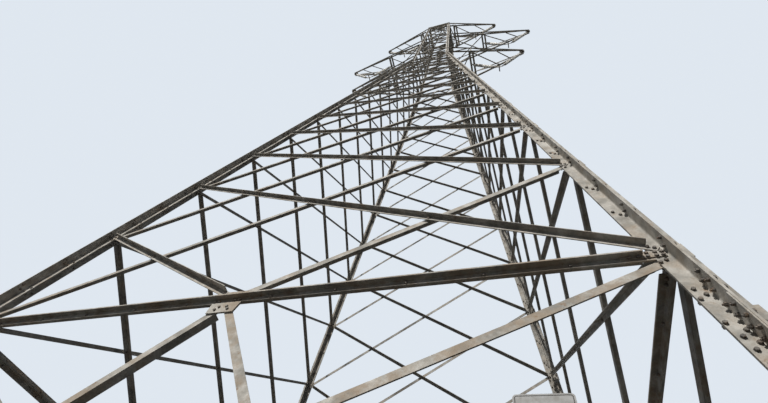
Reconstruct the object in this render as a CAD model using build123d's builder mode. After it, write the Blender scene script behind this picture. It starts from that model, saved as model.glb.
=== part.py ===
from build123d import *

import os
from math import atan2, cos, degrees, hypot, sin, sqrt

os.makedirs("parts", exist_ok=True)

# Driving sizes in millimetres. The origin is on the ground, under the middle of the
# tower. X runs along the crossarms, and the near face looks along -Y.
belt_height = 4450  # ground to the centre line of the belt round the legs
belt_half = 3585  # tower axis to the middle of a leg at the belt
batter = 0.1386  # how far a leg leans in, for each unit of height
cap_height = 260  # concrete cap that each leg stands on
cap_side = 760
cap_chamfer = 45

leg_arm = 112  # one arm of the cross that two leg angles make, back to back
leg_thick = 16
cage_arm = 76
cage_thick = 14
splice_length = 520
splice_thick = 10
splice_drop = 850  # belt down to the splice of the legs
splice_over = 45  # how far the plate on the outer arm stands out past that arm
seat_gap = 0.3  # between a bar and the leg or plate that it is bolted to

panel_count = 14  # panels of the body from the belt to the bend
first_panel = 2030
panel_ratio = 0.941  # each panel against the one below it
cage_half_top = 640
arm_spacing = 3820  # between the crossarm levels
tie_rise = 1040  # bottom chord to the top ties, at the cage
peak_height = 2250

brace_thick = 8
base_brace = 74  # flange of the base diagonals, props and half diagonals
heavy_brace = 62
middle_brace = 56
light_brace = 50
light_thick = 7
bar_end = 26  # how far a bar runs past its bolt line
cage_bar_end = 14
cope = 60  # the standing flange is cut back this far from the bolt line
pack_side = 34  # packing plate between two bars that cross

belt_arm = 60  # one arm of the belt's cross
belt_gap = 80  # belt centre to the bars that meet the leg over and under it
belt_gusset = 300
belt_gusset_high = 70
belt_gusset_in = 26  # leg's middle to the gusset's edge
mid_gusset_half = 155
mid_gusset_high = 110
mid_gusset_low = 200
mid_seat = 60  # belt centre to the foot of the half diagonals
mid_in = 60  # middle of the side to the foot of a half diagonal
prop_seat = 120  # belt centre down to the head of the props
prop_in = 40  # middle of the side to the head of a prop
foot_rise = 150  # top of the cap to the foot of the base diagonals
prop_short = 110  # the right prop ends this much before the base diagonal
v_slope = 0.7  # sideways run of the short props under the belt
meet_gusset = 280  # plate that joins a prop and a level bar to the base diagonal
level_start = 150

sign_width = 311
sign_height = 350
sign_thick = 3
sign_left = 2435  # tower axis to the left edge of the sign
sign_up = 66  # level bar under the belt to the middle of the sign
sign_radius = 24

arm_reach = {"lower": 4375, "middle": 5075, "upper": 3465}
tip_rise = 200
chord = 72
tie = 52
lace = 44
strut = 90  # each of the two cross struts that carry the inner end of a V string
strut_gap = 150  # between the two struts
bar_thick = 7
v_span = 2340  # along the arm, between the two ends of a V string
v_drop = 1400
hook_fall = 135  # the inner hook hangs this much lower than the one at the tip
lug_drop = 90
lug_high = 140
shed_count = 4
cage_panels = 7
root_plate = 230  # plate that joins a crossarm to a leg
root_out = 84  # leg middle to the end of a crossarm chord
plate_in = 14  # face plane to the chord, at the leg
tip_half = 34
tip_back = 60  # arm tip to the outer end of its V string
lug_thick = 12
yoke_pin = 150
yoke_edge = 45  # a string's pin to the corner of the yoke plate
yoke_rise = 40
yoke_fall = 100
yoke_thick = 18
clamp_half = 190
clamp_width = 64
peak_ring = 50
shed_radius = 68
shed_thick = 40
core_radius = 30
string_fitting = 230  # plain link at each end of a string

arm_names = ["lower", "middle", "upper"]
side_turn = {"near": 0, "right": 90, "far": 180, "left": 270}
leg_signs = {
    "near_left": (-1, -1),
    "near_right": (1, -1),
    "far_left": (-1, 1),
    "far_right": (1, 1),
}

# Values that follow from the driving ones.
slope = sqrt(1 + batter**2)
panel_levels = [
    first_panel * (1 - panel_ratio**k) / (1 - panel_ratio) for k in range(panel_count + 1)
]
bend_height = belt_height + panel_levels[-1]
bend_half = belt_half - batter * panel_levels[-1]
arm_level = {name: bend_height + 70 + i * arm_spacing for i, name in enumerate(arm_names)}
cage_top = arm_level["upper"] + tie_rise + 90
cage_batter = (bend_half - cage_half_top) / (cage_top - bend_height)
cage_slope = sqrt(1 + cage_batter**2)
splice_level = belt_height - splice_drop
leg_face = leg_thick / 2 + seat_gap
cage_face = cage_thick / 2 + seat_gap


def half_at(height):
    if height <= bend_height:
        return belt_half - batter * (height - belt_height)
    return bend_half - cage_batter * (height - bend_height)


# A face plane lies in the middle of the legs' arms: x across, y up the slope, z outward.
def near_plane(height, lean):
    return Plane(origin=(0, -half_at(height), height), x_dir=(1, 0, 0), z_dir=(0, -1, lean))


# The two points that a V string hangs from, as x and z on the right side.
def v_hooks(name):
    tip_x = arm_reach[name] - tip_back
    z = arm_level[name] + tip_rise - lug_drop
    return ((tip_x, z), (tip_x - v_span, z - hook_fall))


def save(part, name):
    part.label = name
    export_step(part, f"parts/{name}.step")


# The four sides are one face turned about the tower's axis.
def save_turned(part, stem, turns):
    for side, turn in turns.items():
        save(Rot(0, 0, turn) * part, f"{stem}_{side}")


# A bar is (x1, y1, x2, y2) in a face plane.
def bar_length(bar):
    return hypot(bar[2] - bar[0], bar[3] - bar[1])


def bar_angle(bar):
    return atan2(bar[3] - bar[1], bar[2] - bar[0])


def strip(bar, width, shift, grow):
    angle = bar_angle(bar)
    middle = (
        (bar[0] + bar[2]) / 2 - shift * sin(angle),
        (bar[1] + bar[3]) / 2 + shift * cos(angle),
    )
    with Locations(middle):
        Rectangle(bar_length(bar) + 2 * grow, width, rotation=degrees(angle))


def crossing(one, two):
    ax, ay = one[2] - one[0], one[3] - one[1]
    bx, by = two[2] - two[0], two[3] - two[1]
    det = ax * by - ay * bx
    if abs(det) < 1e-6:
        return None
    along = ((two[0] - one[0]) * by - (two[1] - one[1]) * bx) / det
    other = ((two[0] - one[0]) * ay - (two[1] - one[1]) * ax) / det
    if 0 < along < 1 and 0 < other < 1:
        return (one[0] + along * ax, one[1] + along * ay)
    return None


# Angle bars that lie on one side of the face. The flat flange is against the leg's arm,
# and the standing flange is on the bar's upper (+1) or lower (-1) edge.
def angle_bars(plane, bars, width, thick, seat, way, edge, run_on=bar_end, cut_back=cope):
    with BuildSketch(plane.offset(way * seat)) as flats:
        for bar in bars:
            strip(bar, width, 0, run_on)
    extrude(flats.sketch, amount=way * thick)
    with BuildSketch(plane.offset(way * (seat + thick / 2))) as stands:
        for bar in bars:
            rising = edge if cos(bar_angle(bar)) > 0 else -edge
            strip(bar, thick, rising * (width - thick) / 2, -cut_back)
    extrude(stands.sketch, amount=way * (width - thick / 2))


def packings(plane, one_way, other_way, seat):
    spots = [crossing(one, two) for one in one_way for two in other_way]
    with BuildSketch(plane.offset(-seat)) as plates:
        for spot in spots:
            if spot:
                with Locations(spot):
                    Rectangle(pack_side, pack_side)
    extrude(plates.sketch, amount=2 * seat)


# Concrete caps.
for name, (sx, sy) in leg_signs.items():
    foot = half_at(cap_height)
    with BuildPart() as cap:
        with BuildSketch():
            with Locations((sx * foot, sy * foot)):
                Rectangle(cap_side, cap_side)
        extrude(amount=cap_height)
        chamfer(cap.faces().sort_by(Axis.Z)[-1].edges(), length=cap_chamfer)
    save(cap.part, f"concrete_cap_{name}")


# Legs: a cross of two angles, drawn level and drawn up along the lean.
def leg_piece(sx, sy, low, high, arm, thick, lean):
    with BuildSketch(Plane.XY.offset(low)) as cross:
        with Locations((sx * half_at(low), sy * half_at(low))):
            Rectangle(2 * arm, thick)
            Rectangle(thick, 2 * arm)
    length = (high - low) * sqrt(1 + 2 * lean**2)
    extrude(cross.sketch, amount=length, dir=Vector(-sx * lean, -sy * lean, 1).normalized())


def splice_plates(sx, sy, middle, arm, thick, lean):
    low = middle - splice_length / 2
    width = arm - thick / 2 - 8
    wide = width + splice_over
    with BuildSketch(Plane.XY.offset(low)) as plates:
        x, y = sx * half_at(low), sy * half_at(low)
        root = thick / 2 + 4
        with Locations((x + sx * (root + wide / 2), y - sy * (thick + splice_thick) / 2)):
            Rectangle(wide, splice_thick)
        with Locations((x - sx * (thick + splice_thick) / 2, y + sy * (root + width / 2))):
            Rectangle(splice_thick, width)
    length = splice_length * sqrt(1 + 2 * lean**2)
    extrude(plates.sketch, amount=length, dir=Vector(-sx * lean, -sy * lean, 1).normalized())


for name, (sx, sy) in leg_signs.items():
    with BuildPart() as leg_lower:
        leg_piece(sx, sy, cap_height, splice_level, leg_arm, leg_thick, batter)
        splice_plates(sx, sy, splice_level, leg_arm, leg_thick, batter)
    save(leg_lower.part, f"leg_lower_{name}")

    with BuildPart() as leg_middle:
        leg_piece(sx, sy, splice_level, bend_height, leg_arm, leg_thick, batter)
    save(leg_middle.part, f"leg_middle_{name}")

    with BuildPart() as leg_cage:
        leg_piece(sx, sy, bend_height, cage_top, cage_arm, cage_thick, cage_batter)
    save(leg_cage.part, f"leg_cage_{name}")

# Base frames: belt, crossed diagonals down to the feet, props and level bars.
bolt_in = leg_arm * 0.55  # leg middle to the bolt line on its arm
belt_plane = near_plane(belt_height, batter)
foot_level = (cap_height + foot_rise - belt_height) * slope


def leg_line(y):
    return belt_half - batter * y / slope - bolt_in


def mirrored(bar):
    return (-bar[0], bar[1], -bar[2], bar[3])


to_leg_foot = (-leg_line(foot_level), foot_level, leg_line(-belt_gap), -belt_gap)
prop_line = (prop_in, -prop_seat, prop_in + v_slope * belt_height, -prop_seat - belt_height)
meet = crossing(to_leg_foot, prop_line)
prop = (prop_in, -prop_seat, *meet)
left_prop = mirrored(prop)
prop_end = 1 - prop_short / bar_length(prop)
end_x = prop_in + (meet[0] - prop_in) * prop_end
end_y = -prop_seat + (meet[1] + prop_seat) * prop_end
right_prop = (prop_in, -prop_seat, end_x, end_y)
level_bar = (meet[0] + level_start, meet[1], leg_line(meet[1]), meet[1])
web_end = belt_half - leg_arm - seat_gap
web_lean = batter / slope * belt_arm
gusset_x = mid_gusset_half * 0.9
inner, outer = -1, 1
low_edge, high_edge = -1, 1

with BuildPart() as base_frame:
    with BuildSketch(belt_plane.offset(-leg_thick / 2)):
        with BuildLine():
            Polyline(
                (-web_end - web_lean, -belt_arm),
                (web_end + web_lean, -belt_arm),
                (web_end - web_lean, belt_arm),
                (-web_end + web_lean, belt_arm),
                close=True,
            )
        make_face()
    extrude(amount=leg_thick)
    with BuildSketch(belt_plane.offset(-belt_arm)):
        Rectangle(2 * (web_end - 60), leg_thick)
    extrude(amount=2 * belt_arm)
    with BuildSketch(belt_plane.offset(leg_face)):
        for way in (-1, 1):
            with Locations((way * (belt_half - belt_gusset_in - belt_gusset / 2), 0)):
                Rectangle(belt_gusset, belt_gusset_high)
    extrude(amount=brace_thick)
    with BuildSketch(belt_plane.offset(-leg_thick / 2)):
        with BuildLine():
            Polyline(
                (-mid_gusset_half, -belt_arm),
                (-gusset_x, -mid_gusset_low),
                (gusset_x, -mid_gusset_low),
                (mid_gusset_half, -belt_arm),
                (mid_gusset_half, belt_arm),
                (gusset_x, mid_gusset_high),
                (-gusset_x, mid_gusset_high),
                (-mid_gusset_half, belt_arm),
                close=True,
            )
        make_face()
    extrude(amount=leg_thick)
    size = (base_brace, brace_thick)
    across = mirrored(to_leg_foot)
    angle_bars(belt_plane, [to_leg_foot], *size, leg_face, inner, high_edge)
    angle_bars(belt_plane, [across], *size, leg_face, outer, high_edge)
    angle_bars(belt_plane, [left_prop], *size, leg_thick / 2, inner, low_edge)
    angle_bars(belt_plane, [right_prop], *size, leg_thick / 2, inner, low_edge)
    level_bars = [level_bar, mirrored(level_bar)]
    angle_bars(belt_plane, level_bars, heavy_brace, brace_thick, leg_face, inner, low_edge)
    packings(belt_plane, [to_leg_foot], [across], leg_face)
    with BuildSketch(belt_plane.offset(-leg_face)):
        for way in (-1, 1):
            with Locations((way * (meet[0] + meet_gusset / 4), meet[1])):
                Rectangle(meet_gusset, meet_gusset * 0.6)
    extrude(amount=2 * leg_face)
save_turned(base_frame.part, "base_frame", side_turn)

# Body faces: a double lattice, each diagonal running up over two panels. At the belt and
# at the bend the pattern ends in half diagonals that meet in the middle.
levels = [level * slope for level in panel_levels]
levels[0] = belt_gap
levels[-1] -= 60
base_size, heavy_size = (base_brace, brace_thick), (heavy_brace, brace_thick)
middle_size, light_size = (middle_brace, brace_thick), (light_brace, light_thick)
brace_sizes = [heavy_size] * 4 + [middle_size] * 4 + [light_size] * (panel_count - 9)
rising_bars = []
for k, size in enumerate(brace_sizes):
    low, high = levels[k], levels[k + 2]
    rising_bars.append(((-leg_line(low), low, leg_line(high), high), size))
rising_bars.append(((mid_in, mid_seat, leg_line(levels[1]), levels[1]), base_size))
rising_bars.append(((-leg_line(levels[-2]), levels[-2], 0, levels[-1]), light_size))
bend_bar = (-leg_line(levels[-1]), levels[-1], leg_line(levels[-1]), levels[-1])

with BuildPart() as body_lattice:
    for size in (base_size, heavy_size, middle_size, light_size):
        group = [bar for bar, own in rising_bars if own == size]
        angle_bars(belt_plane, group, *size, leg_face, inner, high_edge)
        angle_bars(belt_plane, [mirrored(bar) for bar in group], *size, leg_face, outer, high_edge)
    angle_bars(belt_plane, [bend_bar], *middle_size, leg_face, outer, low_edge)
    rising = [bar for bar, _ in rising_bars]
    packings(belt_plane, rising, [mirrored(bar) for bar in rising], leg_face)
    with BuildSketch(belt_plane.offset(-leg_face)):
        with Locations((0, levels[-1])):
            Rectangle(pack_side, pack_side)
    extrude(amount=2 * leg_face)
save_turned(body_lattice.part, "body_lattice", side_turn)

# Cage faces: crossed bars in equal panels, with level bars at the crossarms.
cage_plane = near_plane(bend_height, cage_batter)
cage_bolt = cage_arm * 0.6
cage_first = 90
cage_end = (cage_top - bend_height) * cage_slope - 50


def cage_line(y):
    return bend_half - cage_batter * y / cage_slope - cage_bolt


steps = [cage_first + (cage_end - cage_first) * k / cage_panels for k in range(cage_panels + 1)]
rising = [(-cage_line(a), a, cage_line(b), b) for a, b in zip(steps, steps[1:])]
level_heights = [arm_level[name] for name in arm_names[1:]]
level_heights += [arm_level[name] + tie_rise for name in arm_names]
levels_up = [(height - bend_height) * cage_slope for height in level_heights]
level_bars = [(-cage_line(y), y, cage_line(y), y) for y in levels_up]

with BuildPart() as cage_lattice:
    size = light_size
    angle_bars(cage_plane, rising, *size, cage_face, inner, high_edge, cage_bar_end)
    falling = [mirrored(bar) for bar in rising]
    angle_bars(cage_plane, falling, *size, cage_face, outer, high_edge, cage_bar_end)
    angle_bars(cage_plane, level_bars, *size, cage_face, outer, low_edge, cage_bar_end)
    packings(cage_plane, rising, falling, cage_face)
save_turned(cage_lattice.part, "cage_lattice", side_turn)


# An angle bar between two points in space. Its flat flange lies in the plane that the
# inward normal gives, centred on the line, and its other flange stands along the normal.
def angle_between(start, end, width, thick, normal, sink=0, edge=-1):
    axis = end - start
    across = normal.cross(axis).normalized()
    inward = axis.cross(across).normalized()
    with BuildSketch(Plane(origin=start + inward * sink, x_dir=across, z_dir=axis)) as angle:
        Rectangle(width, thick, align=(Align.CENTER, Align.MIN))
        with Locations((edge * (width - thick) / 2, 0)):
            Rectangle(thick, width, align=(Align.CENTER, Align.MIN))
    extrude(angle.sketch, amount=axis.length)


# Crossarms: two bottom chords and two top ties that meet at the tip. The near half of the
# right arm is drawn and mirrored, and the left arm is the right one turned half round.
def post_place(name):
    root = half_at(arm_level[name])
    return 1 - (v_span + tip_back) / (arm_reach[name] - root - root_out)


up = Vector(0, 0, 1)
for name in arm_names:
    level = arm_level[name]
    root, root_top = half_at(level), half_at(level + tie_rise)
    share = post_place(name)
    low = Vector(root + root_out, plate_in - root, level)
    high = Vector(root_top + root_out, plate_in - root_top, level + tie_rise)
    tip = Vector(arm_reach[name], -tip_half, level + tip_rise)
    tip_up = tip + up * 40
    normal = (tip - low).cross(high - low)
    foot, post, mid, last = (
        low + (tip - low) * part for part in (0.04, share, (1 + share) / 2, (3 + share) / 4)
    )
    beside = (tip - low) * (strut_gap / 2 / (tip.X - low.X))
    tie_root, tie_post, tie_mid = (
        high + (tip_up - high) * (share + aside) for aside in (-0.03, 0, 0.03)
    )
    drop = up * (chord / 2 - 2)
    with BuildPart() as crossarm:
        angle_between(low, tip, chord, bar_thick, normal)
        angle_between(high, tip_up, tie, bar_thick, normal, 0, 1)
        angle_between(post, tie_post, lace, bar_thick, normal, 2)
        angle_between(foot, tie_root, lace, bar_thick, normal, 1.5)
        angle_between(mid, tie_mid, lace, bar_thick, normal, 1)
        for base, half in ((low, root), (high, root_top)):
            with BuildSketch(near_plane(base.Z, cage_batter).offset(-cage_face - splice_thick)):
                with Locations((half + 20 + root_plate / 2, 0)):
                    Rectangle(root_plate, 120)
            extrude(amount=splice_thick)
        mirror(about=Plane.XZ)
        far_low, far_post, far_mid, far_last = (
            Vector(at.X, -at.Y, at.Z) for at in (low, post, mid, last)
        )
        far_beside = Vector(beside.X, -beside.Y, beside.Z)
        for way in (-1, 1):
            begin = post - drop + beside * way
            angle_between(begin, far_post - drop + far_beside * way, strut, bar_thick, up, 0, way)
        for begin, end, lift in (
            (low, far_post, 1),
            (far_low, post, 3),
            (post, far_mid, 1),
            (mid, far_last, 1),
        ):
            angle_between(begin - drop + up * lift, end - drop + up * lift, lace, bar_thick, up)
        with BuildSketch(Plane.XY.offset(level + tip_rise - 20)):
            with Locations((arm_reach[name] - 60, 0)):
                Rectangle(220, 2 * tip_half + 40)
        extrude(amount=80)
        for x, z in v_hooks(name):
            with BuildSketch(Plane.XZ.offset(-lug_thick / 2)):
                with Locations((x, z + lug_high / 2)):
                    Rectangle(80, lug_high)
            extrude(amount=lug_thick)
    save_turned(crossarm.part, f"crossarm_{name}", {"right": 0, "left": 180})

# V strings: two insulator strings from the tip and the cross strut down to a yoke plate,
# with the wire's clamp under it. One is drawn with its outer hook over the origin.
yoke_x = -v_span / 2
yoke_z = lug_drop - tip_rise - v_drop
with BuildPart() as v_string:
    for x, z, side_way in ((0, 0, 1), (-v_span, -hook_fall, -1)):
        start = Vector(x, 0, z - seat_gap - 20)
        axis = Vector(yoke_x + side_way * yoke_pin, 0, yoke_z) - start
        with BuildSketch(Plane.XY.offset(z - seat_gap)):
            with Locations((x, 0)):
                Rectangle(56, 40)
        extrude(amount=-52)
        line = Plane(origin=start, x_dir=(0, 1, 0), z_dir=axis)
        with BuildSketch(line):
            RegularPolygon(radius=core_radius, side_count=6)
        extrude(amount=axis.length)
        pitch = (axis.length - 2 * string_fitting) / shed_count
        for i in range(shed_count):
            with BuildSketch(line.offset(string_fitting + pitch * (i + 0.35))):
                RegularPolygon(radius=shed_radius, side_count=6)
            extrude(amount=shed_thick)
    with BuildSketch(Plane.XZ.offset(-yoke_thick / 2)):
        with BuildLine():
            Polyline(
                (yoke_x - yoke_pin - yoke_edge, yoke_z + yoke_rise),
                (yoke_x + yoke_pin + yoke_edge, yoke_z + yoke_rise),
                (yoke_x + 60, yoke_z - yoke_fall),
                (yoke_x - 60, yoke_z - yoke_fall),
                close=True,
            )
        make_face()
    extrude(amount=yoke_thick)
    with BuildSketch(Plane.YZ.offset(yoke_x - clamp_width / 2)):
        with BuildLine():
            Polyline(
                (-clamp_half, yoke_z - 165),
                (-150, yoke_z - 120),
                (-50, yoke_z - 80),
                (50, yoke_z - 80),
                (150, yoke_z - 120),
                (clamp_half, yoke_z - 165),
                close=True,
            )
        make_face()
    extrude(amount=clamp_width)

for name in arm_names:
    hook_x, hook_z = v_hooks(name)[0]
    hung = Pos(hook_x, 0, hook_z) * v_string.part
    save_turned(hung, f"v_string_{name}", {"right": 0, "left": 180})

# Earth wire peak: a small pyramid on the cage top, with its clamp.
top_half = half_at(cage_top)
with BuildPart() as earth_peak:
    with BuildSketch(Plane.XY.offset(cage_top)):
        Rectangle(2 * (top_half + cage_arm), 2 * (top_half + cage_arm))
        Rectangle(2 * (top_half - cage_arm), 2 * (top_half - cage_arm), mode=Mode.SUBTRACT)
    extrude(amount=peak_ring)
    for sx, sy in leg_signs.values():
        foot = Vector(sx * top_half, sy * top_half, cage_top + peak_ring)
        head = Vector(sx * 30, sy * 30, cage_top + peak_height)
        angle_between(foot, head, chord, bar_thick, Vector(-sx, -sy, 0))
    for share in (0.36, 0.68):
        half = top_half + (30 - top_half) * share
        z = cage_top + peak_ring + (peak_height - peak_ring) * share
        with BuildSketch(Plane.XY.offset(z)):
            Rectangle(2 * half + 30, 2 * half + 30)
            Rectangle(2 * half - 70, 2 * half - 70, mode=Mode.SUBTRACT)
        extrude(amount=bar_thick)
    with BuildSketch(Plane.XY.offset(cage_top + peak_height - 40)):
        Rectangle(170, 170)
    extrude(amount=60)
    with BuildSketch(Plane.XZ.offset(-7)):
        with Locations((0, cage_top + peak_height + 60)):
            Rectangle(90, 110)
    extrude(amount=14)
save(earth_peak.part, "earth_wire_peak")

# The blank warning plate, bolted to the level bar of the near base frame.
with BuildPart() as sign:
    centre_y = meet[1] + sign_up
    with BuildSketch(belt_plane.offset(seat_gap - leg_face)):
        with Locations((sign_left + sign_width / 2, centre_y)):
            RectangleRounded(sign_width, sign_height, sign_radius)
    extrude(amount=sign_thick)
save(sign.part, "sign_plate")

print("bend at", round(bend_height), "arms at", {k: round(v) for k, v in arm_level.items()})
print("cage top", round(cage_top), "level bar at", [round(v) for v in level_bar])
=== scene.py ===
import math

import bmesh
import bpy
from mathutils import Matrix, Vector


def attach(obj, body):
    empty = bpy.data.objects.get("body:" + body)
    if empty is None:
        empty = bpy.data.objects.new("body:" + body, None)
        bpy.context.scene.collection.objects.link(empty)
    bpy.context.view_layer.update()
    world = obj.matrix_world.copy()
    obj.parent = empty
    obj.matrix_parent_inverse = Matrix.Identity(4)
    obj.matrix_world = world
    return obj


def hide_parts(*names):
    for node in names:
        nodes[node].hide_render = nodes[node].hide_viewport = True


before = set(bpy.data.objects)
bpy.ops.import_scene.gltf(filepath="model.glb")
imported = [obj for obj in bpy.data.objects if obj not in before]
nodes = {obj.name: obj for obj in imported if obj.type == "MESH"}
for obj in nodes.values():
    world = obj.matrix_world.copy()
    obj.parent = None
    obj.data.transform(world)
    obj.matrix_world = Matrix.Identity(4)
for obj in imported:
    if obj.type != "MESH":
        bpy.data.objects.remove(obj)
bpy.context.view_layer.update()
print("frame loaded:", len(nodes), "nodes")

# the pylon's own lines, in metres, the same as in its construction
tower = {
    "beltHeight": 4.45,
    "beltHalf": 3.585,  # axis to the middle of a leg, at the belt
    "batter": 0.1386,
    "legArm": 0.112,
    "legThick": 0.016,
    "seatGap": 0.0003,
    "barThick": 0.0072,
    "boltLine": 0.0616,  # leg's middle to the line of bolts
    "capHeight": 0.26,
    "footRise": 0.15,
    "beltGap": 0.08,
    "midPoint": (0.06, 0.06),  # foot of a half diagonal
    "propPoint": (0.04, -0.12),  # head of a prop
    "propSlope": 0.7,
    "propShort": 0.11,
    "levelStart": 0.15,
    "bendDrop": 0.06,
    "panelCount": 14,
    "firstPanel": 2.03,
    "panelRatio": 0.941,
    "cageThick": 0.014,
    "cageHalfTop": 0.64,
    "cagePanels": 7,
    "cageFirst": 0.09,
    "cageLast": 0.05,
    "armStart": 0.07,  # bend to the lowest crossarm
    "armSpacing": 3.82,
    "tieRise": 1.04,
    "headRoom": 0.09,  # highest tie to the top of the cage
}
armReach = {"lower": 4.375, "middle": 5.075, "upper": 3.465}
slope = math.sqrt(1 + tower["batter"] ** 2)
panelLevels = [
    tower["firstPanel"] * (1 - tower["panelRatio"] ** k) / (1 - tower["panelRatio"])
    for k in range(tower["panelCount"] + 1)
]
bendHeight = tower["beltHeight"] + panelLevels[-1]
bendHalf = tower["beltHalf"] - tower["batter"] * panelLevels[-1]
armLevels = {
    name: bendHeight + tower["armStart"] + i * tower["armSpacing"]
    for i, name in enumerate(armReach)
}
cageTop = armLevels["upper"] + tower["tieRise"] + tower["headRoom"]
cageBatter = (bendHalf - tower["cageHalfTop"]) / (cageTop - bendHeight)
cageSlope = math.sqrt(1 + cageBatter**2)
sideTurns = {"near": 0, "right": 90, "far": 180, "left": 270}
legSigns = [(sx, sy) for sx in (-1, 1) for sy in (-1, 1)]


def halfAt(height):
    if height <= bendHeight:
        return tower["beltHalf"] - tower["batter"] * (height - tower["beltHeight"])
    return bendHalf - cageBatter * (height - bendHeight)


def facePlace(side, height, lean):  # x across the face, y up its slope, z outward
    out = Vector((0, -1, lean)).normalized()
    across = Vector((1, 0, 0))
    up = out.cross(across)
    origin = Vector((0, -halfAt(height), height))
    place = Matrix.Translation(origin) @ Matrix((across, up, out)).transposed().to_4x4()
    return Matrix.Rotation(math.radians(sideTurns[side]), 4, "Z") @ place


# materials: small helpers first, then one function for each finish


def startMaterial(name):
    material = bpy.data.materials.new(name)
    material.use_nodes = True
    tree = material.node_tree
    return material, tree, tree.nodes["Principled BSDF"]


def fillInputs(tree, node, inputs):  # links what is a socket and writes what is a value
    for key, value in inputs.items():
        if isinstance(value, bpy.types.NodeSocket):
            tree.links.new(value, node.inputs[key])
        else:
            node.inputs[key].default_value = value


def addNode(tree, kind, inputs=None, **settings):
    node = tree.nodes.new(kind)
    for key, value in settings.items():
        setattr(node, key, value)
    fillInputs(tree, node, inputs or {})
    return node


def objectSpace(tree):
    return addNode(tree, "ShaderNodeTexCoord").outputs["Object"]


def addRamp(tree, fac, stops):  # each stop is a place with a colour or a grey
    ramp = addNode(tree, "ShaderNodeValToRGB", {"Fac": fac})
    band = ramp.color_ramp
    while len(band.elements) < len(stops):
        band.elements.new(0.5)
    for element, (place, shade) in zip(band.elements, stops):
        element.position = place
        element.color = (*shade, 1) if isinstance(shade, tuple) else (shade, shade, shade, 1)
    return ramp.outputs["Color"]


def addMask(tree, fac, start, end, most):
    return addRamp(tree, fac, [(start, 0.0), (end, most)])


def mixColours(tree, fac, one, two, blend="MIX"):
    mix = addNode(tree, "ShaderNodeMix", data_type="RGBA", blend_type=blend)
    for socket, value in ((0, fac), (6, one), (7, two)):
        if isinstance(value, bpy.types.NodeSocket):
            tree.links.new(value, mix.inputs[socket])
        else:
            mix.inputs[socket].default_value = (*value, 1) if isinstance(value, tuple) else value
    return mix.outputs[2]


def addNoise(tree, where, scale, detail, roughness):
    settings = {"Vector": where, "Scale": scale, "Detail": detail, "Roughness": roughness}
    return addNode(tree, "ShaderNodeTexNoise", settings).outputs["Fac"]


def addBump(tree, shader, height, strength, distance):
    bump = addNode(
        tree, "ShaderNodeBump", {"Height": height, "Strength": strength, "Distance": distance}
    )
    fillInputs(tree, shader, {"Normal": bump.outputs["Normal"]})


def zincMaterial(name, look):  # weathered hot-dip zinc on rolled angles
    material, tree, shader = startMaterial(name)
    where = objectSpace(tree)
    clouds = addNoise(tree, where, look["cloudScale"], 5, 0.6)
    body = addRamp(
        tree, clouds, [(0.34, look["dull"]), (0.5, look["body"]), (0.66, look["bright"])]
    )
    blotches = addNoise(tree, where, look["warmScale"], 6, 0.7)
    warmMask = addMask(tree, blotches, look["warmFrom"], look["warmFrom"] + 0.14, look["warmShare"])
    body = mixColours(tree, warmMask, body, look["warm"])
    cells = addNode(tree, "ShaderNodeTexVoronoi", {"Vector": where, "Scale": look["spangleScale"]})
    grey = addNode(tree, "ShaderNodeRGBToBW", {"Color": cells.outputs["Color"]}).outputs["Val"]
    spangle = addRamp(tree, grey, [(0.0, 0.84), (1.0, 1.1)])
    body = mixColours(tree, 0.6, body, spangle, "MULTIPLY")
    specks = addNoise(tree, where, look["speckScale"], 5, 0.7)
    speckMask = addMask(tree, specks, 0.52, 0.66, look["speckShare"])
    body = mixColours(tree, speckMask, body, look["streak"])
    drawn = addNode(
        tree, "ShaderNodeMapping", {"Vector": where, "Scale": (1, 1, look["runStretch"])}
    )
    streaks = addNoise(tree, drawn.outputs["Vector"], look["streakScale"], 6, 0.65)
    streakMask = addMask(tree, streaks, 0.5, 0.74, look["streakShare"])
    body = mixColours(tree, streakMask, body, look["streak"])
    spots = addNoise(tree, where, look["stainScale"], 7, 0.72)
    stainMask = addMask(tree, spots, look["stainFrom"], look["stainFrom"] + 0.1, 0.8)
    body = mixColours(tree, stainMask, body, look["stain"])
    rough = addRamp(tree, clouds, [(0.3, look["roughness"] + 0.14), (0.7, look["roughness"])])
    fillInputs(tree, shader, {
        "Base Color": body,
        "Roughness": rough,
        "Metallic": look["metallic"],
        "Specular IOR Level": look["gloss"],
    })
    grain = addNoise(tree, where, look["grainScale"], 3, 0.6)
    addBump(tree, shader, mixColours(tree, 0.5, grain, spots), 0.35, 0.0015)
    return material


zincLook = {
    "dull": (0.31, 0.305, 0.285),
    "body": (0.47, 0.46, 0.43),
    "bright": (0.62, 0.605, 0.57),
    "cloudScale": 7,
    "warm": (0.43, 0.36, 0.285),
    "warmScale": 5,
    "warmFrom": 0.48,
    "warmShare": 0.5,
    "spangleScale": 95,
    "streak": (0.3, 0.265, 0.22),
    "streakScale": 15,
    "streakShare": 0.4,
    "runStretch": 0.12,
    "speckScale": 44,
    "speckShare": 0.4,
    "stain": (0.27, 0.165, 0.09),
    "stainScale": 13,
    "stainFrom": 0.64,
    "metallic": 0.02,
    "gloss": 0.1,
    "roughness": 0.6,
    "grainScale": 140,
}
legZinc = zincMaterial("legZinc", dict(zincLook, stainFrom=0.6, stainScale=10))
baseZinc = zincMaterial(
    "baseZinc",
    dict(
        zincLook, warm=(0.37, 0.295, 0.22), warmScale=3, warmFrom=0.44, warmShare=0.75,
        stainFrom=0.6,
    ),
)
braceZinc = zincMaterial("braceZinc", dict(zincLook, warmShare=0.65, stainFrom=0.61))
headZinc = zincMaterial("headZinc", dict(zincLook, warmScale=3, stainFrom=0.58))
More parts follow.
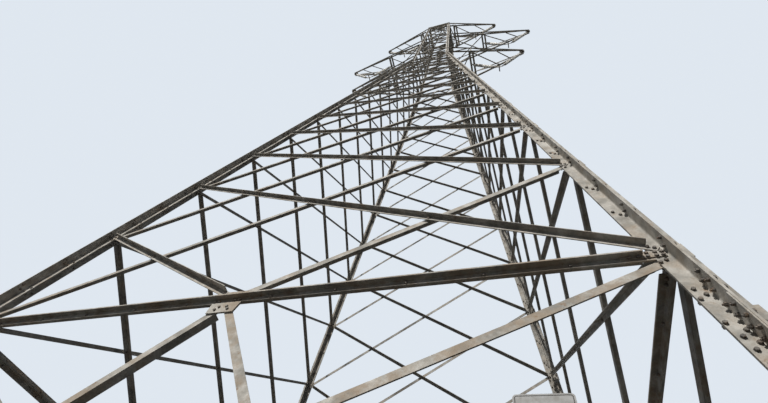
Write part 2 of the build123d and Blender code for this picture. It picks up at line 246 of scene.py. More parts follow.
# bolts drawn much darker than the plates: partly rust and weathering, partly painted shade for
# their dark look
boltZinc = zincMaterial(
    "boltZinc",
    dict(
        zincLook, dull=(0.1, 0.095, 0.09), body=(0.16, 0.15, 0.14), bright=(0.24, 0.23, 0.21),
        warm=(0.17, 0.12, 0.085), stainFrom=0.55, stainScale=31, roughness=0.45, metallic=0.4,
    ),
)


def concreteMaterial(name, look):
    material, tree, shader = startMaterial(name)
    where = objectSpace(tree)
    clouds = addNoise(tree, where, look["cloudScale"], 6, 0.65)
    body = addRamp(tree, clouds, [(0.3, look["dark"]), (0.7, look["pale"])])
    sand = addNoise(tree, where, look["sandScale"], 3, 0.7)
    body = mixColours(tree, 0.25, body, addRamp(tree, sand, [(0.35, 0.3), (0.65, 0.7)]), "OVERLAY")
    wet = addNoise(tree, where, look["dampScale"], 4, 0.6)
    body = mixColours(tree, addMask(tree, wet, 0.5, 0.7, look["dampShare"]), body, look["damp"])
    fillInputs(tree, shader, {"Base Color": body, "Roughness": look["roughness"]})
    pores = addNode(tree, "ShaderNodeTexVoronoi", {"Vector": where, "Scale": look["poreScale"]})
    pits = addMask(tree, pores.outputs["Distance"], 0.0, 0.2, 1.0)
    addBump(tree, shader, mixColours(tree, 0.5, sand, pits), 0.6, 0.004)
    return material


castLook = {
    "dark": (0.33, 0.32, 0.29),
    "pale": (0.52, 0.51, 0.47),
    "cloudScale": 3,
    "sandScale": 160,
    "damp": (0.2, 0.21, 0.15),
    "dampScale": 1.4,
    "dampShare": 0.6,
    "poreScale": 42,
    "roughness": 0.9,
}


def glazeMaterial(name, look):  # fired glaze with some grime from the wind
    material, tree, shader = startMaterial(name)
    where = objectSpace(tree)
    grime = addNoise(tree, where, look["grimeScale"], 5, 0.6)
    wear = addNoise(tree, where, look["wearScale"], 4, 0.6)
    fillInputs(tree, shader, {
        "Base Color": addRamp(tree, grime, [(0.35, look["dark"]), (0.65, look["light"])]),
        "Roughness": addRamp(tree, wear, [(0.35, look["smooth"]), (0.7, look["worn"])]),
        "Coat Weight": look["coat"],
        "Subsurface Weight": look["glow"],
        "Subsurface Radius": (1, 1, 1),
        "Subsurface Scale": look["glowDepth"],
    })
    return material


glazeLook = {
    "light": (0.96, 0.94, 0.89),
    "dark": (0.86, 0.83, 0.76),
    "grimeScale": 9,
    "wearScale": 30,
    "smooth": 0.16,
    "worn": 0.4,
    "coat": 0.4,
    "glow": 0.85,  # the share of sun that gets in and comes out on the shaded side
    "glowDepth": 0.07,
}


def enamelMaterial(name, look):
    material, tree, shader = startMaterial(name)
    where = objectSpace(tree)
    clouds = addNoise(tree, where, look["cloudScale"], 6, 0.65)
    # for the white sign both base tones are painted shade over white paint
    body = addRamp(tree, clouds, [(0.35, look["fadedInShade"]), (0.6, look["paintInShade"])])
    chips = addNoise(tree, where, look["chipScale"], 5, 0.7)
    chipMask = addMask(tree, chips, look["chipFrom"], look["chipFrom"] + 0.06, 0.7)
    fillInputs(tree, shader, {
        "Base Color": mixColours(tree, chipMask, body, look["chip"]),
        "Roughness": addRamp(tree, clouds, [(0.3, look["matt"]), (0.7, look["smooth"])]),
        "Specular IOR Level": look["gloss"],
    })
    addBump(tree, shader, chips, 0.15, 0.001)
    return material


# the white sign's enamel is drawn mid grey: painted shade over white paint; its faded tone varies
# at random and the chips are rust
enamelLook = {
    "paintInShade": (0.4, 0.41, 0.42),
    "fadedInShade": (0.31, 0.31, 0.3),
    "cloudScale": 16,
    "chip": (0.2, 0.12, 0.07),
    "chipScale": 55,
    "chipFrom": 0.68,
    "matt": 0.7,
    "smooth": 0.5,
    "gloss": 0.25,
}
concrete = concreteMaterial("castConcrete", castLook)
glaze = glazeMaterial("stringGlaze", glazeLook)
# the sign's white enamel, drawn grey as painted shade
signShadedWhite = enamelMaterial("signShadedWhite", enamelLook)
signBlack = enamelMaterial(
    "signBlack", dict(enamelLook, paintInShade=(0.035, 0.035, 0.035), fadedInShade=(0.07, 0.065, 0.06))
)

nodeFinish = {
    "concrete_cap": concrete,
    "leg_lower": legZinc,
    "leg_middle": legZinc,
    "leg_cage": legZinc,
    "base_frame": baseZinc,
    "body_lattice": braceZinc,
    "cage_lattice": headZinc,
    "crossarm": headZinc,
    "earth_wire_peak": headZinc,
    "v_string": glaze,
    "sign_plate": signShadedWhite,
}
for nodeName, node in nodes.items():
    finish = next(m for stem, m in nodeFinish.items() if nodeName.startswith(stem))
    node.data.materials.clear()
    node.data.materials.append(finish)
print("materials set on the frame's nodes")


# small shapes, drawn once and set out as joined meshes


def addCopies(bm, shape, places):
    single = bpy.data.meshes.new("single")
    shape.to_mesh(single)
    shape.free()
    for place in places:
        copy = single.copy()
        copy.transform(place)
        if place.determinant() < 0:  # a mirrored copy is turned right side out
            copy.flip_normals()
        bm.from_mesh(copy)
        bpy.data.meshes.remove(copy)
    bpy.data.meshes.remove(single)


def joinCopies(name, shape, places, material):
    bm = bmesh.new()
    addCopies(bm, shape, places)
    mesh = bpy.data.meshes.new(name)
    bm.to_mesh(mesh)
    bm.free()
    mesh.materials.append(material)
    piece = bpy.data.objects.new(name, mesh)
    bpy.context.scene.collection.objects.link(piece)
    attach(piece, "root")
    return piece


def addPrism(bm, radius, low, high, sides, radiusTop=None, place=Matrix()):
    bmesh.ops.create_cone(
        bm, cap_ends=True, segments=sides, radius1=radius,
        radius2=radius if radiusTop is None else radiusTop, depth=high - low,
        matrix=place @ Matrix.Translation((0, 0, (low + high) / 2)),
    )


def addPlate(bm, outline, low, high, place=Matrix(), rim=0.0):  # an outline, given a thickness
    face = bm.faces.new([bm.verts.new((x, y, low)) for x, y in outline])
    grown = bmesh.ops.extrude_face_region(bm, geom=[face])["geom"]
    top = [item for item in grown if isinstance(item, bmesh.types.BMVert)]
    bmesh.ops.translate(bm, verts=top, vec=(0, 0, high - low))
    made = list(face.verts) + top
    shell = list({f for v in made for f in v.link_faces})
    bmesh.ops.recalc_face_normals(bm, faces=shell)
    bmesh.ops.transform(bm, matrix=place, verts=made)
    if rim:
        edges = list({e for f in shell for e in f.edges})
        bmesh.ops.bevel(
            bm, geom=edges, offset=rim, offset_type="OFFSET", segments=1, profile=0.5,
            affect="EDGES", material=-1,
        )


def box(wide, high):
    x, y = wide / 2, high / 2
    return [(-x, -y), (x, -y), (x, y), (-x, y)]


def bothHalves(half):  # the right half of an outline, and its mirror image
    return half + [(-x, y) for x, y in half[::-1]]


boltSizes = {
    "headRadius": 0.0139,
    "headHigh": 0.01,
    "headBevel": 0.0018,
    "headTop": 0.012232,
    "washerRadius": 0.0155,
    "washerHigh": 0.003,
    "nutHigh": 0.013,
    "shankRadius": 0.008,
    "shankTop": 0.0068,
    "shankOut": 0.01,
    "shankSunk": 0.002,
}


def boltHead(sizes):
    bm = bmesh.new()
    addPrism(bm, sizes["washerRadius"], 0, sizes["washerHigh"], 8)
    top = sizes["washerHigh"] + sizes["headHigh"]
    shoulder = top - sizes["headBevel"]
    addPrism(bm, sizes["headRadius"], sizes["washerHigh"], shoulder, 6)
    addPrism(bm, sizes["headRadius"], shoulder, top, 6, sizes["headTop"])
    return bm


def boltNut(sizes):
    bm = bmesh.new()
    addPrism(bm, sizes["washerRadius"], 0, sizes["washerHigh"], 8)
    top = sizes["washerHigh"] + sizes["nutHigh"]
    addPrism(bm, sizes["headRadius"], sizes["washerHigh"], top, 6)
    low, high = top - sizes["shankSunk"], top + sizes["shankOut"]
    addPrism(bm, sizes["shankRadius"], low, high, 6, sizes["shankTop"])
    return bm


def setBolts(name, spots, height, lean, sides=tuple(sideTurns)):
    behind = Matrix.Rotation(math.pi, 4, "X")
    for side in sides:
        plane = facePlace(side, height, lean)
        heads, nuts = [], []
        for x, y, headAt, nutAt in spots:
            turn = Matrix.Rotation(x * 7 + y * 3, 4, "Z")  # each bolt stands at its own turn
            heads.append(plane @ Matrix.Translation((x, y, headAt)) @ turn)
            nuts.append(plane @ Matrix.Translation((x, y, -nutAt)) @ behind @ turn)
        joinCopies(f"{name}_heads_{side}", boltHead(boltSizes), heads, boltZinc)
        joinCopies(f"{name}_nuts_{side}", boltNut(boltSizes), nuts, boltZinc)
    print(name, len(spots), "bolts on each side")


# legs: rolled root radius along the inner corners of each leg's angles

rootFillet = {"radius": 0.013, "cageRadius": 0.01, "steps": 5, "sunk": 0.001}


def filletShape(thick, radius):
    bm = bmesh.new()
    corner = thick / 2 - rootFillet["sunk"]
    centre = thick / 2 + radius
    outline = [(corner, corner)]
    for i in range(rootFillet["steps"] + 1):
        turn = math.radians(270 - 90 * i / rootFillet["steps"])
        outline.append((centre + radius * math.cos(turn), centre + radius * math.sin(turn)))
    addPlate(bm, outline, 0, 1)
    return bm


def legPlaces(low, high, lean):  # a level outline in a leg's quarter, drawn up along the leg
    places = []
    rise = high - low
    for sx, sy in legSigns:
        for qx, qy in ((sx, -sy), (-sx, sy)):
            places.append(Matrix((
                (qx, 0, -sx * lean * rise, sx * halfAt(low)),
                (0, qy, -sy * lean * rise, sy * halfAt(low)),
                (0, 0, rise, low),
                (0, 0, 0, 1),
            )))
    return places


joinCopies(
    "leg_root_fillets", filletShape(tower["legThick"], rootFillet["radius"]),
    legPlaces(tower["capHeight"], bendHeight, tower["batter"]), legZinc,
)
joinCopies(
    "cage_root_fillets", filletShape(tower["cageThick"], rootFillet["cageRadius"]),
    legPlaces(bendHeight, cageTop, cageBatter), legZinc,
)
print("leg fillets made")


# the bars' lines in a face, each as (x1, y1, x2, y2)


def mirrored(bar):
    return (-bar[0], bar[1], -bar[2], bar[3])


def backward(bar):
    return (bar[2], bar[3], bar[0], bar[1])


def crossing(one, two):
    a = Vector((one[2] - one[0], one[3] - one[1]))
    b = Vector((two[2] - two[0], two[3] - two[1]))
    det = a.x * b.y - a.y * b.x
    if abs(det) < 1e-9:
        return None
    gap = Vector((two[0] - one[0], two[1] - one[1]))
    along = (gap.x * b.y - gap.y * b.x) / det
    other = (gap.x * a.y - gap.y * a.x) / det
    if 0 < along < 1 and 0 < other < 1:
        return (one[0] + along * a.x, one[1] + along * a.y)
    return None


def onBar(bar, far):  # the point this far from the bar's start
    start, end = Vector(bar[:2]), Vector(bar[2:])
    point = start + (end - start).normalized() * far
    return (point.x, point.y)


def legMiddle(y):
    return tower["beltHalf"] - tower["batter"] * y / slope


def legLine(y):
    return legMiddle(y) - tower["boltLine"]


levels = [level * slope for level in panelLevels]
levels[0] = tower["beltGap"]
levels[-1] -= tower["bendDrop"]
risingBars = [
    (-legLine(levels[k]), levels[k], legLine(levels[k + 2]), levels[k + 2])
    for k in range(tower["panelCount"] - 1)
]
shortBar = (*tower["midPoint"], legLine(levels[1]), levels[1])
lastBar = (-legLine(levels[-2]), levels[-2], 0, levels[-1])

footLevel = (tower["capHeight"] + tower["footRise"] - tower["beltHeight"]) * slope
baseDiagonal = (-legLine(footLevel), footLevel, legLine(-tower["beltGap"]), -tower["beltGap"])
propX, propY = tower["propPoint"]
propRun = tower["propSlope"] * tower["beltHeight"]
propLine = (propX, propY, propX + propRun, propY - tower["beltHeight"])
meet = crossing(baseDiagonal, propLine)
prop = (propX, propY, *meet)
shortProp = (propX, propY, *onBar(backward(prop), tower["propShort"]))
levelBar = (meet[0] + tower["levelStart"], meet[1], legLine(meet[1]), meet[1])

# how far out the head or nut of a bolt sits: on a leg's arm, on a bar over it, on a prop
armSide = tower["legThick"] / 2
barSide = armSide + tower["seatGap"] + tower["barThick"]
propSide = armSide + tower["barThick"]

boltRows = {
    "second": 0.046,  # from the first bolt of a bar to the next one
    "heavyPanels": 4,  # panels whose bars have two bolts at each end
    "pitch": 0.03,  # half of the step between two bolts of a pair, along the leg
    "nearRoot": 0.046,  # leg's middle to the two rows of bolts on an arm
    "nearTip": 0.082,
    "battenFirst": 0.7,
    "battenStep": 0.6,
    "battenLast": 0.3,  # under the bend
    "battenClear": 0.16,
    "jointReach": 0.085,  # a joint to the bolt under it
}


def battenHeights():
    found = []
    y = boltRows["battenFirst"]
    while y < levels[-1] - boltRows["battenLast"]:
        if min(abs(y - level) for level in levels) > boltRows["battenClear"]:
            found.append(y)
        y += boltRows["battenStep"]
    return found


def armPair(y, inward, outward):  # two staggered bolts on the arms of both legs of a face
    spots = []
    pitch = boltRows["pitch"]
    for at, off in ((y - pitch, boltRows["nearRoot"]), (y + pitch, boltRows["nearTip"])):
        for way in (-1, 1):
            if inward:
                spots.append((way * (legMiddle(at) - off), at, armSide, armSide))
            if outward:
                spots.append((way * (legMiddle(at) + off), at, armSide, armSide))
    return spots


def latticeBolts():
    spots = []
    allRising = risingBars + [shortBar, lastBar]
    heavy = risingBars[: boltRows["heavyPanels"]] + [shortBar]
    for level in levels[1:]:
        for way in (-1, 1):
            spots.append((way * legLine(level), level, barSide, barSide))
    first = risingBars[0]
    spots.append((*first[:2], armSide, barSide))
    spots.append((*mirrored(first)[:2], barSide, armSide))
    for bar in heavy:
        for end in (bar, backward(bar)):
            spots.append((*onBar(end, boltRows["second"]), armSide, barSide))
            spots.append((*onBar(mirrored(end), boltRows["second"]), barSide, armSide))
    spots.append((*shortBar[:2], armSide, barSide))
    spots.append((*mirrored(shortBar)[:2], barSide, armSide))
    for one in allRising:
        for two in allRising:
            spot = crossing(one, mirrored(two))
            if spot:
                spots.append((*spot, barSide, barSide))
    for y in battenHeights():
        spots += armPair(y, inward=True, outward=True)
    for level in levels[1:]:
        spots += armPair(level, inward=False, outward=True)
        y = level - boltRows["jointReach"]
        off = legMiddle(y) - boltRows["nearTip"]
        spots += [(off, y, armSide, armSide), (-off, y, armSide, armSide)]
    return spots


beltRows = {
    "row": 0.0215,  # belt's centre line to the two rows on a gusset
    "gusset": (0.048, 0.09, 0.145, 0.205, 0.265),  # leg's middle to each bolt
    "stitchRow": 0.036,
    "stitchFirst": 0.45,
    "stitchStep": 0.62,
    "stitchClear": 0.5,
    "middle": (0.085, 0.13),
}


def beltBolts():
    spots = []
    belt = legMiddle(0)
    stitches = list(beltRows["middle"])
    along = beltRows["stitchFirst"]
    while along < belt - beltRows["stitchClear"]:
        stitches.append(along)
        along += beltRows["stitchStep"]
    for way in (-1, 1):
        for y in (beltRows["row"], -beltRows["row"]):
            spots += [(way * (belt - x), y, barSide, armSide) for x in beltRows["gusset"]]
        for y in (beltRows["stitchRow"], -beltRows["stitchRow"]):
            spots += [(way * x, y, armSide, armSide) for x in stitches]
    return spots


legRows = {
    "pairs": (-0.46, -1.9, -2.5, -3.1, -3.7),  # heights from the belt, down the face
    "outwardPairs": (0.09, -0.36),
    "singles": (-0.53, -0.75),
    "singleOff": 0.097,  # leg's middle to a single bolt, near the arm's tip
    "spliceTop": -0.62,
    "spliceStep": 0.098,
    "spliceCount": 5,
    "spliceOffs": (0.038, 0.082),  # leg's middle to the two staggered rows of the splice
    "spliceThick": 0.01,
    "inwardFirst": 2,  # the inward arms are joined only over the lower part
}


def legBolts():
    spots = []
    for y in legRows["pairs"]:
        spots += armPair(y, inward=True, outward=True)
    for y in legRows["outwardPairs"]:
        spots += armPair(y, inward=False, outward=True)
    for y in legRows["singles"]:
        off = legMiddle(y) - legRows["singleOff"]
        spots += [(off, y, armSide, armSide), (-off, y, armSide, armSide)]
    spliceSide = armSide + legRows["spliceThick"]
    for i in range(legRows["spliceCount"]):
        for k, off in enumerate(legRows["spliceOffs"]):
            y = legRows["spliceTop"] - (i + k / 2) * legRows["spliceStep"]
            for way in (-1, 1):
                spots.append((way * (legMiddle(y) + off), y, armSide, spliceSide))
                if i >= legRows["inwardFirst"]:
                    spots.append((way * (legMiddle(y) - off), y, armSide, armSide))
    return spots


baseRows = {"propTail": 0.05, "meetOffs": (-0.05, 0.0, 0.05)}


def baseBarBolts():
    spots = []
    pair = (0, boltRows["second"])
    toMeet = (*meet, *baseDiagonal[2:])
    ends = [(end, far) for end in (baseDiagonal, backward(baseDiagonal)) for far in pair]
    for bar, far in ends + [(toMeet, far) for far in baseRows["meetOffs"]]:
        spots.append((*onBar(bar, far), armSide, barSide))
        spots.append((*onBar(mirrored(bar), far), barSide, armSide))
    for bar in (prop, mirrored(prop)):
        spots += [(*onBar(bar, far), armSide, propSide) for far in pair]
    spots.append((*shortProp[2:], armSide, propSide))
    spots.append((*onBar(backward(mirrored(prop)), baseRows["propTail"]), armSide, propSide))
    for bar in (levelBar, mirrored(levelBar)):
        for end in (bar, backward(bar)):
            spots += [(*onBar(end, far), armSide, barSide) for far in pair]
    spots.append((*crossing(baseDiagonal, mirrored(baseDiagonal)), barSide, barSide))
    return spots


setBolts("lattice_bolts", latticeBolts(), tower["beltHeight"], tower["batter"])
baseSpots = beltBolts() + legBolts() + baseBarBolts()
setBolts("base_bolts", baseSpots, tower["beltHeight"], tower["batter"])


# packing plates between the two angles of a leg, which stand out past the arms' tips

packing = {
    "out": 0.012,
    "deep": 0.03,
    "thick": 0.008,
    "high": 0.18,
    "beltUp": 0.03,
}


def packingPlates(side):
    bm = bmesh.new()
    plane = facePlace(side, tower["beltHeight"], tower["batter"])
    outline = box(packing["deep"], packing["high"])
    half = packing["thick"] / 2
    off = tower["legArm"] + packing["out"] - packing["deep"] / 2
    for y in [packing["beltUp"]] + levels[1:-1]:
        for way in (-1, 1):
            middle = Matrix.Translation((way * (legMiddle(y) + off), y, 0))
            lean = Matrix.Rotation(way * math.atan(tower["batter"] / slope), 4, "Z")
            addPlate(bm, outline, -half, half, plane @ middle @ lean)
    joinCopies(f"leg_packings_{side}", bm, [Matrix()], legZinc)


for sideName in ("near", "far"):  # only the arms along x carry them
    packingPlates(sideName)
print("packing plates made")


# bolts of the cage and of the crossarms' roots

cageRows = {
    "line": 0.0456,  # leg's middle to the line of bolts
    "plateThick": 0.01,
    "legBolts": (0.036, 0.062),
    "chordBolts": (0.115, 0.165, 0.215),
    "row": 0.032,
}
cageSide = tower["cageThick"] / 2
plateSide = cageSide + tower["seatGap"]
cageBarSide = plateSide + tower["barThick"]


def cageEdge(y):
    return bendHalf - cageBatter * y / cageSlope - cageRows["line"]


def cageBolts():
    first = tower["cageFirst"]
    last = (cageTop - bendHeight) * cageSlope - tower["cageLast"]
    step = (last - first) / tower["cagePanels"]
    steps = [first + k * step for k in range(tower["cagePanels"] + 1)]
    spots = []
    for y in steps:
        spots += [(way * cageEdge(y), y, cageBarSide, cageBarSide) for way in (-1, 1)]
    for low, high in zip(steps, steps[1:]):
        bar = (-cageEdge(low), low, cageEdge(high), high)
        spots.append((*crossing(bar, mirrored(bar)), cageBarSide, cageBarSide))
    heights = [armLevels[name] for name in ("middle", "upper")]
    heights += [level + tower["tieRise"] for level in armLevels.values()]
    for height in heights:
        y = (height - bendHeight) * cageSlope
        spots += [(way * cageEdge(y), y, cageBarSide, cageSide) for way in (-1, 1)]
    return spots


def rootBolts():
    spots = []
    plateOut = plateSide + cageRows["plateThick"]
    for level in armLevels.values():
        for height in (level, level + tower["tieRise"]):
            y = (height - bendHeight) * cageSlope
            for way in (-1, 1):
                for x in cageRows["legBolts"]:
                    at = way * (halfAt(height) + x)
                    for row in (-cageRows["row"], cageRows["row"]):
                        spots.append((at, y + row, cageSide, plateOut))
                for x in cageRows["chordBolts"]:
                    at = way * (halfAt(height) + x)
                    spots.append((at, y, -plateSide, plateOut + tower["barThick"]))
    return spots


setBolts("cage_bolts", cageBolts(), bendHeight, cageBatter)
setBolts("crossarm_root_bolts", rootBolts(), bendHeight, cageBatter, ("near", "far"))


# V strings: long rods with sheds, caps, arcing horns, yoke plate and clamp

vString = {
    "span": 2.34,
    "fall": 0.135,  # the inner hook hangs this much lower
    "tipBack": 0.06,
    "hookUp": 0.11,
    "hookDrop": 0.0203,
    "yokeDown": 1.51,
    "pinOut": 0.15,
    "fitting": 0.21,  # hook or pin to the first shed
    "collar": 0.02,
    "rod": 0.042,
    "shed": 0.067,
    "shedStep": 0.044,
    "shedStart": 0.2,  # share of a step under the first shed
    "under": 0.008,  # from a shed's foot up to its rim
    "rim": 0.024,  # up to the top of its rim
    "over": 0.034,  # up to its root
    "rootOut": 0.006,
    "sides": 14,
}
yokePlace = Matrix.Translation((-vString["span"] / 2, 0, -vString["yokeDown"]))


def alongPlace(start, end):  # z from start to end, y level
    way = (end - start).normalized()
    level = Vector((0, 1, 0))
    if abs(way.y) > 0.99:
        level = Vector((1, 0, 0))
    other = level.cross(way).normalized()
    turned = Matrix((other, way.cross(other), way)).transposed().to_4x4()
    return Matrix.Translation(start) @ turned


def addRod(bm, start, end, radius, sides=8):
    addPrism(bm, radius, 0, (end - start).length, sides, place=alongPlace(start, end))


def addLathe(bm, profile, sides, place):  # a profile of (radius, height), turned about z
    shape = bmesh.new()
    points = [shape.verts.new((radius, 0, high)) for radius, high in profile]
    lines = [shape.edges.new(pair) for pair in zip(points, points[1:])]
    bmesh.ops.spin(
        shape, geom=points + lines, cent=(0, 0, 0), axis=(0, 0, 1), angle=math.tau,
        steps=sides, use_merge=True,
    )
    bmesh.ops.remove_doubles(shape, verts=shape.verts, dist=0.00001)
    bmesh.ops.recalc_face_normals(shape, faces=shape.faces)
    addCopies(bm, shape, [place])


def stringEnds():
    drop = vString["hookDrop"]
    yoke = Vector((-vString["span"] / 2, 0, -vString["yokeDown"]))
    pin = Vector((vString["pinOut"], 0, 0))
    return [
        (Vector((0, 0, -drop)), yoke + pin),
        (Vector((-vString["span"], 0, -vString["fall"] - drop)), yoke - pin),
    ]


def shedProfile(length):
    first, rod, shed = vString["fitting"], vString["rod"], vString["shed"]
    low, high = first - vString["collar"], length - first + vString["collar"]
    profile = [(0, low), (rod, low)]
    for i in range(int((length - 2 * first) / vString["shedStep"])):
        z = first + (i + vString["shedStart"]) * vString["shedStep"]
        profile += [(rod, z), (shed, z + vString["under"]), (shed, z + vString["rim"])]
        profile.append((rod + vString["rootOut"], z + vString["over"]))
    return profile + [(rod, high), (0, high)]


def makeRods():
    bm = bmesh.new()
    for start, end in stringEnds():
        profile = shedProfile((end - start).length)
        addLathe(bm, profile, vString["sides"], alongPlace(start, end))
    return bm


endMetal = {
    "capLow": 0.1,  # a cap's ends, before and past the first shed
    "capHigh": 0.005,
    "capNeck": 0.016,
    "capShoulder": 0.0368,
    "capTaper": 0.025,
    "capRadius": 0.046,
    "capRim": 0.02,
    "capSides": 10,
    "link": 0.011,
    "linkStart": 0.03,
    "linkEnd": 0.09,
    "pinHalf": 0.028,
    "pinRadius": 0.009,
    "cheekWide": 0.034,
    "cheekThick": 0.012,
    "cheekLong": 0.068,
    "cheekOff": 0.018,
    "horn": 0.007,
    "hornPath": ((0.0, -0.06), (0.07, -0.07), (0.105, -0.03), (0.115, 0.07)),  # out, along
}


def capProfile():
    low = vString["fitting"] - endMetal["capLow"]
    high = vString["fitting"] + endMetal["capHigh"]
    return [
        (0, low),
        (endMetal["capNeck"], low),
        (endMetal["capShoulder"], low + endMetal["capTaper"]),
        (endMetal["capRadius"], high - endMetal["capRim"]),
        (endMetal["capRadius"], high),
        (0, high),
    ]


def addEnd(bm, begin, finish, hornWay):  # a cap with its link, pin, cheeks and bent horn
    place = alongPlace(begin, finish)
    addLathe(bm, capProfile(), endMetal["capSides"], place)
    linkEnd = vString["fitting"] - endMetal["linkEnd"]
    addPrism(bm, endMetal["link"], endMetal["linkStart"], linkEnd, 8, place=place)
    side = Vector((0, endMetal["pinHalf"], 0))
    addRod(bm, begin - side, begin + side, endMetal["pinRadius"])
    outline = box(endMetal["cheekWide"], endMetal["cheekThick"])
    for edge in (-1, 1):
        cheek = place @ Matrix.Translation((0, edge * endMetal["cheekOff"], 0))
        addPlate(bm, outline, 0, endMetal["cheekLong"], cheek)
    path = [
        place @ Vector((hornWay * out, 0, vString["fitting"] + along))
        for out, along in endMetal["hornPath"]
    ]
    for start, end in zip(path, path[1:]):
        addRod(bm, start, end, endMetal["horn"], 6)


yokePlate = {
    "rightHalf": ((0.05, -0.1), (0.075, -0.09), (0.18, -0.01), (0.195, 0.02), (0.172, 0.04)),
    "thick": 0.018,
    "rim": 0.002,
}


def makeFittings():
    bm = bmesh.new()
    for way, (start, end) in zip((-1, 1), stringEnds()):
        addEnd(bm, start, end, way)
        addEnd(bm, end, start, -way)
    upright = yokePlace @ Matrix.Rotation(math.pi / 2, 4, "X")
    outline = bothHalves(list(yokePlate["rightHalf"]))
    half = yokePlate["thick"] / 2
    addPlate(bm, outline, -half, half, upright, yokePlate["rim"])
    return bm


clamp = {
    "boatHalf": (
        (0.04, -0.163), (0.141, -0.151), (0.188, -0.13), (0.1504, -0.124), (0.05, -0.138),
    ),
    "boatWide": 0.046,
    "keeperLong": 0.16,
    "keeperHigh": 0.014,
    "keeperWide": 0.034,
    "keeperAt": -0.132,
    "keeperRim": 0.002,
    "hangerWide": 0.036,
    "hangerHigh": 0.066,
    "hangerThick": 0.008,
    "hangerAt": -0.108,
    "hangerOff": 0.019,
    "boltAt": 0.055,
    "boltFoot": -0.148,
    "boltRadius": 0.005,
    "boltLong": 0.045,
    "nutRadius": 0.009,
    "nutLow": 0.02,
    "nutHigh": 0.03,
}


def makeClamp():  # a boat with a keeper over it, and two hanger plates with their bolts
    bm = bmesh.new()
    along = yokePlace @ Matrix.Rotation(math.pi / 2, 4, "Z")
    upright = along @ Matrix.Rotation(math.pi / 2, 4, "X")
    wide = clamp["boatWide"] / 2
    addPlate(bm, bothHalves(list(clamp["boatHalf"])), -wide, wide, upright)
    keeper = upright @ Matrix.Translation((0, clamp["keeperAt"], 0))
    outline = box(clamp["keeperLong"], clamp["keeperHigh"])
    wide = clamp["keeperWide"] / 2
    addPlate(bm, outline, -wide, wide, keeper, clamp["keeperRim"])
    hanger = upright @ Matrix.Translation((0, clamp["hangerAt"], 0))
    outline = box(clamp["hangerWide"], clamp["hangerHigh"])
    thick = clamp["hangerThick"] / 2
    for off in (-clamp["hangerOff"], clamp["hangerOff"]):
        addPlate(bm, outline, off - thick, off + thick, hanger)
        for at in (-clamp["boltAt"], clamp["boltAt"]):
            foot = along @ Matrix.Translation((at, off, clamp["boltFoot"]))
            addPrism(bm, clamp["boltRadius"], 0, clamp["boltLong"], 6, place=foot)
            addPrism(bm, clamp["nutRadius"], clamp["nutLow"], clamp["nutHigh"], 6, place=foot)
    return bm


for armName, reach in armReach.items():
    hookHeight = armLevels[armName] + vString["hookUp"]
    hook = Matrix.Translation((reach - vString["tipBack"], 0, hookHeight))
    for sideName, turn in (("right", 0), ("left", math.pi)):
        places = [Matrix.Rotation(turn, 4, "Z") @ hook]
        stem = f"v_string_{armName}_{sideName}"
        rods = joinCopies(f"{stem}_rods", makeRods(), places, glaze)
        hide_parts(stem)
        joinCopies(f"{stem}_fittings", makeFittings(), places, headZinc)
        joinCopies(f"{stem}_clamp", makeClamp(), places, headZinc)
print("V strings made")


# sign plate: a thin dark line round its bare face, and two bolts

sign = {
    "left": 2.435,
    "width": 0.311,
    "height": 0.35,
    "up": 0.066,  # level bar to the sign's middle
    "face": -0.005,  # its outer face, from the middle of the leg's arm
    "radius": 0.024,
    "inset": 0.009,
    "line": 0.005,
    "lineHigh": 0.0006,
    "boltOut": 0.1,
}
signMiddle = (sign["left"] + sign["width"] / 2, meet[1] + sign["up"])


def roundedOutline(wide, high, radius, steps=6):
    points = []
    for turn, cx, cy in ((0, 1, 1), (90, -1, 1), (180, -1, -1), (270, 1, -1)):
        for i in range(steps + 1):
            a = math.radians(turn + 90 * i / steps)
            x = cx * (wide / 2 - radius) + radius * math.cos(a)
            y = cy * (high / 2 - radius) + radius * math.sin(a)
            points.append((x, y))
    return points


def addLoop(bm, outline, high):
    corners = [bm.verts.new((x, y, high)) for x, y in outline]
    return [bm.edges.new(pair) for pair in zip(corners, corners[1:] + corners[:1])]


def signLine():
    bm = bmesh.new()
    edges = []
    for inset in (sign["inset"], sign["inset"] + sign["line"]):
        wide, high = sign["width"] - 2 * inset, sign["height"] - 2 * inset
        edges += addLoop(bm, roundedOutline(wide, high, sign["radius"] - inset), sign["lineHigh"])
    bmesh.ops.bridge_loops(bm, edges=edges)
    skirt = bmesh.ops.extrude_edge_only(bm, edges=[e for e in bm.edges if e.is_boundary])["geom"]
    low = [item for item in skirt if isinstance(item, bmesh.types.BMVert)]
    bmesh.ops.translate(bm, verts=low, vec=(0, 0, -sign["lineHigh"]))
    bmesh.ops.recalc_face_normals(bm, faces=bm.faces)
    return bm


nearFace = facePlace("near", tower["beltHeight"], tower["batter"])
signPlace = nearFace @ Matrix.Translation((*signMiddle, sign["face"]))
joinCopies("sign_line", signLine(), [signPlace], signBlack)
signSpots = [
    (signMiddle[0] + way * sign["boltOut"], meet[1], sign["face"], barSide) for way in (-1, 1)
]
setBolts("sign_bolts", signSpots, tower["beltHeight"], tower["batter"], ("near",))


# the camera, at the place where the photo was taken

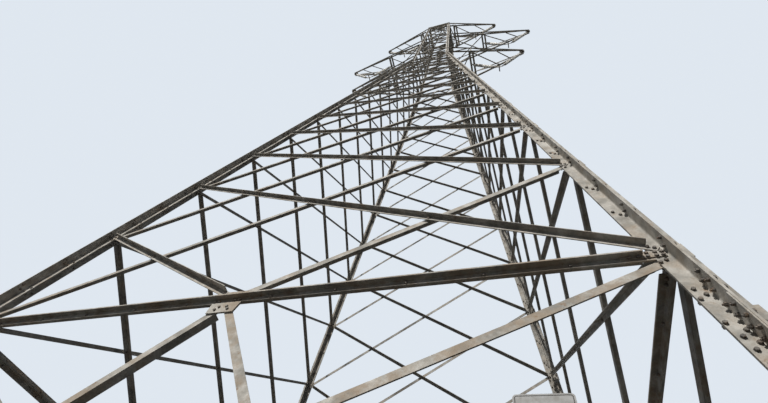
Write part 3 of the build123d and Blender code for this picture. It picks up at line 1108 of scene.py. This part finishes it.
cameraPlace = {
    "spot": (2.535, -5.855, 1.808),
    "turn": (0.5848, 0.2317, -0.2159),  # photo's right, down and into it, as a turn vector
    "sensor": 36,
    "lens": 20.354,
    "shiftX": 0.003,
    "shiftY": 0.0303,
    "clipEnd": 400,
}
turnVector = Vector(cameraPlace["turn"])
photoAxes = Matrix.Rotation(turnVector.length, 3, turnVector.normalized())
right, down, into = (Vector(row) for row in photoAxes)
cameraData = bpy.data.cameras.new("photoCamera")
cameraData.sensor_width = cameraPlace["sensor"]
cameraData.lens = cameraPlace["lens"]
cameraData.shift_x = cameraPlace["shiftX"]
cameraData.shift_y = cameraPlace["shiftY"]
cameraData.clip_end = cameraPlace["clipEnd"]
camera = bpy.data.objects.new("photoCamera", cameraData)
camera.matrix_world = (
    Matrix.Translation(cameraPlace["spot"])
    @ Matrix((right, -down, -into)).transposed().to_4x4()
)
bpy.context.scene.collection.objects.link(camera)
bpy.context.scene.camera = camera


# light, floor and background

studio = {
    "sunTurn": (math.radians(40), 0, math.radians(-18)),
    "sunPower": 3.7,
    "sunAngle": math.radians(3),
    "sunColour": (1.0, 0.96, 0.9),
    "skyPower": 0.08,
    "skyColour": (0.8, 0.88, 1.0),
    "backdrop": (0.74, 0.8, 0.87),
    "floorSeen": (0.62, 0.62, 0.6),
    "floorLit": (0.02, 0.02, 0.018),
    "floorRough": 0.95,
    "floorReach": 380,
    "floorSides": 64,
    "fadeFrom": 40,  # the floor turns into the backdrop from here
    "fadeTo": 150,
}


def seenRay(tree):  # 1 for what the camera sees, also in metal and glass, and 0 for what lights
    rays = addNode(tree, "ShaderNodeLightPath").outputs
    share = rays["Is Camera Ray"]
    for kind in ("Is Glossy Ray", "Is Transmission Ray"):
        most = addNode(tree, "ShaderNodeMath", {0: share, 1: rays[kind]}, operation="MAXIMUM")
        share = most.outputs[0]
    return share


def mixShaders(tree, fac, one, two):
    return addNode(tree, "ShaderNodeMixShader", {0: fac, 1: one, 2: two}).outputs[0]


def makeWorld():
    world = bpy.data.worlds.new("studio")
    world.use_nodes = True
    bpy.context.scene.world = world
    tree = world.node_tree
    tree.nodes.clear()
    glow = {"Color": (*studio["skyColour"], 1), "Strength": studio["skyPower"]}
    lit = addNode(tree, "ShaderNodeBackground", glow).outputs[0]
    wall = {"Color": (*studio["backdrop"], 1), "Strength": 1}
    seen = addNode(tree, "ShaderNodeBackground", wall).outputs[0]
    addNode(tree, "ShaderNodeOutputWorld", {"Surface": mixShaders(tree, seenRay(tree), lit, seen)})


def makeFloor():
    bm = bmesh.new()
    sides, reach = studio["floorSides"], studio["floorReach"]
    bmesh.ops.create_circle(bm, cap_ends=True, segments=sides, radius=reach)
    mesh = bpy.data.meshes.new("floor")
    bm.to_mesh(mesh)
    bm.free()
    floor = bpy.data.objects.new("floor", mesh)
    material, tree, shader = startMaterial("floorPale")
    seen = seenRay(tree)
    shade = mixColours(tree, seen, studio["floorLit"], studio["floorSeen"])
    fillInputs(tree, shader, {"Base Color": shade, "Roughness": studio["floorRough"]})
    far = addNode(tree, "ShaderNodeVectorMath", {0: objectSpace(tree)}, operation="LENGTH")
    span = {"From Min": studio["fadeFrom"], "From Max": studio["fadeTo"]}
    fade = addNode(tree, "ShaderNodeMapRange", {"Value": far.outputs["Value"], **span})
    share = addNode(
        tree, "ShaderNodeMath", {0: fade.outputs["Result"], 1: seen}, operation="MULTIPLY"
    )
    haze = addNode(tree, "ShaderNodeEmission", {"Color": (*studio["backdrop"], 1)})
    surface = mixShaders(tree, share.outputs[0], shader.outputs["BSDF"], haze.outputs[0])
    fillInputs(tree, tree.nodes["Material Output"], {"Surface": surface})
    mesh.materials.append(material)
    bpy.context.scene.collection.objects.link(floor)


def makeSun():
    data = bpy.data.lights.new("sun", "SUN")
    data.energy = studio["sunPower"]
    data.angle = studio["sunAngle"]
    data.color = studio["sunColour"]
    sun = bpy.data.objects.new("sun", data)
    sun.rotation_euler = studio["sunTurn"]
    bpy.context.scene.collection.objects.link(sun)


makeWorld()
makeFloor()
makeSun()
bpy.context.scene.view_settings.view_transform = "Standard"
print("camera, light and floor set")
